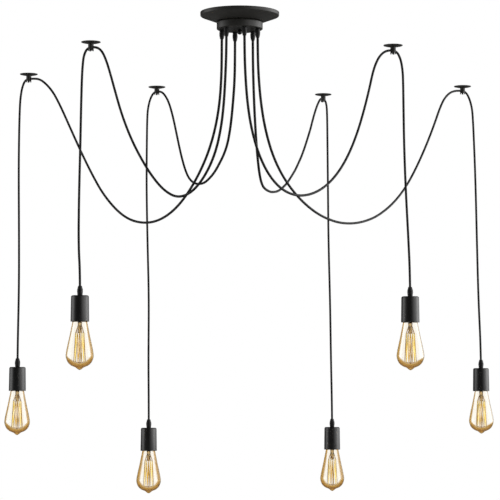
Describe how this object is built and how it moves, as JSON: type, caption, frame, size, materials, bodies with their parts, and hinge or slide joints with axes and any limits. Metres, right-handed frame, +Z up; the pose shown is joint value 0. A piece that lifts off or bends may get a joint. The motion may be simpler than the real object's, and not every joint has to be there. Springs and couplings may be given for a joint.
{
  "type": "swag pendant light",
  "caption": "Multi-lamp swag pendant: round canopy, cords draped over ceiling hooks, bare tapered amber filament bulbs in black holders.",
  "frame": {"origin": "centre of the canopy's rim, on the ceiling plane", "axes": "+Z up towards the ceiling, -Y the front that the picture shows, +X to its right"},
  "size_m": [1.2555, 1.405, 1.069],
  "materials": {
    "black_metal": "satin",
    "black_gloss_metal": "gloss",
    "plated_steel": "satin",
    "pale_plastic": "matte",
    "black_plastic": "matte",
    "cord_core": "matte",
    "black_cord": "matte",
    "socket_plastic": "matte",
    "brass_cap": "satin",
    "amber_glass": "gloss",
    "gold_wire": "satin"
  },
  "bodies": {
    "ceiling_set": {"canopy_dish": "black_metal", "canopy_cup": "black_metal", "crossbar": "plated_steel", "centre_rod": "plated_steel", "rod_locknut": "plated_steel", "terminal_block": "pale_plastic", "canopy_leads": "cord_core", "canopy_grips": "black_plastic", "grip_locknuts": "plated_steel", "hook_plates": "black_metal", "hook_studs": "black_metal", "swag_cord_1": "black_cord", "swag_cord_2": "black_cord", "swag_cord_3": "black_cord", "swag_cord_4": "black_cord", "swag_cord_5": "black_cord", "swag_cord_6": "black_cord"},
    "finial": {"finial_ball": "black_gloss_metal"},
    "pendant_1": {"drop_cord_1": "black_cord", "lamp_grip_1": "black_plastic", "holder_shell_1": "black_metal", "socket_insert_1": "socket_plastic"},
    "bulb_1": {"bulb_cap_1": "brass_cap", "bulb_glass_1": "amber_glass", "bulb_filament_1": "gold_wire"},
    "pendant_2": {"drop_cord_2": "black_cord", "lamp_grip_2": "black_plastic", "holder_shell_2": "black_metal", "socket_insert_2": "socket_plastic"},
    "bulb_2": {"bulb_cap_2": "brass_cap", "bulb_glass_2": "amber_glass", "bulb_filament_2": "gold_wire"},
    "pendant_3": {"drop_cord_3": "black_cord", "lamp_grip_3": "black_plastic", "holder_shell_3": "black_metal", "socket_insert_3": "socket_plastic"},
    "bulb_3": {"bulb_cap_3": "brass_cap", "bulb_glass_3": "amber_glass", "bulb_filament_3": "gold_wire"},
    "pendant_4": {"drop_cord_4": "black_cord", "lamp_grip_4": "black_plastic", "holder_shell_4": "black_metal", "socket_insert_4": "socket_plastic"},
    "bulb_4": {"bulb_cap_4": "brass_cap", "bulb_glass_4": "amber_glass", "bulb_filament_4": "gold_wire"},
    "pendant_5": {"drop_cord_5": "black_cord", "lamp_grip_5": "black_plastic", "holder_shell_5": "black_metal", "socket_insert_5": "socket_plastic"},
    "bulb_5": {"bulb_cap_5": "brass_cap", "bulb_glass_5": "amber_glass", "bulb_filament_5": "gold_wire"},
    "pendant_6": {"drop_cord_6": "black_cord", "lamp_grip_6": "black_plastic", "holder_shell_6": "black_metal", "socket_insert_6": "socket_plastic"},
    "bulb_6": {"bulb_cap_6": "brass_cap", "bulb_glass_6": "amber_glass", "bulb_filament_6": "gold_wire"}
  },
  "joints": [
    {"name": "finial_unscrew", "type": "slide", "parent": "ceiling_set", "child": "finial", "axis": [0, 0, -1], "range_m": [0, 0.007]},
    {"name": "swing_1", "type": "hinge", "parent": "ceiling_set", "child": "pendant_1", "pos_m": [-0.5625, 0.909, -0.078], "axis": [1, 0, 0], "range_deg": [-12, 12]},
    {"name": "bulb_unscrew_1", "type": "slide", "parent": "pendant_1", "child": "bulb_1", "axis": [0, 0, -1], "range_m": [0, 0.03]},
    {"name": "swing_2", "type": "hinge", "parent": "ceiling_set", "child": "pendant_2", "pos_m": [-0.366, 0.399, -0.078], "axis": [1, 0, 0], "range_deg": [-12, 12]},
    {"name": "bulb_unscrew_2", "type": "slide", "parent": "pendant_2", "child": "bulb_2", "axis": [0, 0, -1], "range_m": [0, 0.03]},
    {"name": "swing_3", "type": "hinge", "parent": "ceiling_set", "child": "pendant_3", "pos_m": [-0.25, 1.143, -0.078], "axis": [1, 0, 0], "range_deg": [-12, 12]},
    {"name": "bulb_unscrew_3", "type": "slide", "parent": "pendant_3", "child": "bulb_3", "axis": [0, 0, -1], "range_m": [0, 0.03]},
    {"name": "swing_4", "type": "hinge", "parent": "ceiling_set", "child": "pendant_4", "pos_m": [0.2315, 1.289, -0.078], "axis": [1, 0, 0], "range_deg": [-12, 12]},
    {"name": "bulb_unscrew_4", "type": "slide", "parent": "pendant_4", "child": "bulb_4", "axis": [0, 0, -1], "range_m": [0, 0.03]},
    {"name": "swing_5", "type": "hinge", "parent": "ceiling_set", "child": "pendant_5", "pos_m": [0.379, 0.451, -0.078], "axis": [1, 0, 0], "range_deg": [-12, 12]},
    {"name": "bulb_unscrew_5", "type": "slide", "parent": "pendant_5", "child": "bulb_5", "axis": [0, 0, -1], "range_m": [0, 0.03]},
    {"name": "swing_6", "type": "hinge", "parent": "ceiling_set", "child": "pendant_6", "pos_m": [0.6105, 1.134, -0.078], "axis": [1, 0, 0], "range_deg": [-12, 12]},
    {"name": "bulb_unscrew_6", "type": "slide", "parent": "pendant_6", "child": "bulb_6", "axis": [0, 0, -1], "range_m": [0, 0.03]}
  ]
}
